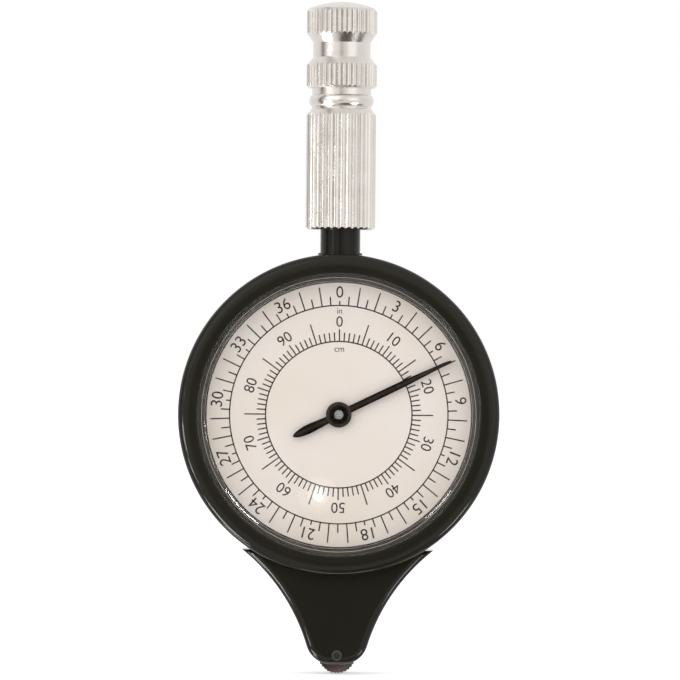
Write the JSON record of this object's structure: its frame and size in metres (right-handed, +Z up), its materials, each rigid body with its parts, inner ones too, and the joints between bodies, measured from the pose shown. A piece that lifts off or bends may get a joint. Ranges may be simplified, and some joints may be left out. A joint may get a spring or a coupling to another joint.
{
  "type": "opisometer",
  "caption": "Hand-held map measurer: a serrated wheel in a tapered nose turns a pointer over a round two-scale dial in a black case under a fluted metal handle.",
  "frame": {"origin": "the point of the tracing wheel that touches the map, in the middle of the wheel's width", "axes": "+Z up through the handle, dial faces -Y, flat back faces +Y, +X to the right of someone reading the dial"},
  "size_m": [0.05, 0.0133, 0.1049],
  "materials": {
    "case_black": "moulded gloss",
    "crystal_clear": "clear, polished",
    "dial_white": "printed, satin",
    "movement_brass": "fine brushed",
    "screw_steel": "turned",
    "bush_steel": "turned",
    "arbor_steel": "polished",
    "stem_black": "smooth gloss",
    "handle_metal": "polished, straight fluted",
    "wheel_steel": "serrated rim",
    "pointer_black": "satin lacquer"
  },
  "bodies": {
    "case": {"front_shell": "case_black", "rear_shell": "case_black", "crystal": "crystal_clear", "dial": "dial_white", "front_plate": "movement_brass", "rear_plate": "movement_brass", "plate_pillars": "movement_brass", "plate_screws": "screw_steel", "movement_screws": "screw_steel", "case_screws": "screw_steel", "centre_bush": "movement_brass", "wheel_bushes": "bush_steel", "handle_stem": "stem_black", "handle": "handle_metal"},
    "wheel": {"tracing_wheel": "wheel_steel", "wheel_pinion": "arbor_steel"},
    "idler": {"idler_gear": "movement_brass", "idler_arbor": "arbor_steel"},
    "first_mobile": {"first_gear": "movement_brass", "first_pinion": "arbor_steel"},
    "second_mobile": {"second_gear": "movement_brass", "second_pinion": "arbor_steel"},
    "pointer": {"centre_gear": "movement_brass", "centre_arbor": "arbor_steel", "pointer": "pointer_black"}
  },
  "joints": [
    {"name": "pointer_turn", "type": "hinge", "parent": "case", "child": "pointer", "pos_m": [0, 0, 0.04046], "axis": [0, 1, 0], "continuous": true},
    {"name": "wheel_turn", "type": "hinge", "parent": "case", "child": "wheel", "pos_m": [0, 0, 0.00299], "axis": [0, 1, 0], "continuous": true},
    {"name": "idler_turn", "type": "hinge", "parent": "case", "child": "idler", "pos_m": [0, 0, 0.00899], "axis": [0, 1, 0], "continuous": true},
    {"name": "first_turn", "type": "hinge", "parent": "case", "child": "first_mobile", "pos_m": [0, 0, 0.01799], "axis": [0, 1, 0], "continuous": true},
    {"name": "second_turn", "type": "hinge", "parent": "case", "child": "second_mobile", "pos_m": [0.00254, 0, 0.02898], "axis": [0, 1, 0], "continuous": true}
  ],
  "couplings": [
    {"joint": "second_turn", "follows": "pointer_turn", "ratio": -4},
    {"joint": "first_turn", "follows": "pointer_turn", "ratio": 15.2},
    {"joint": "idler_turn", "follows": "pointer_turn", "ratio": -13.3},
    {"joint": "wheel_turn", "follows": "pointer_turn", "ratio": 53.2}
  ]
}
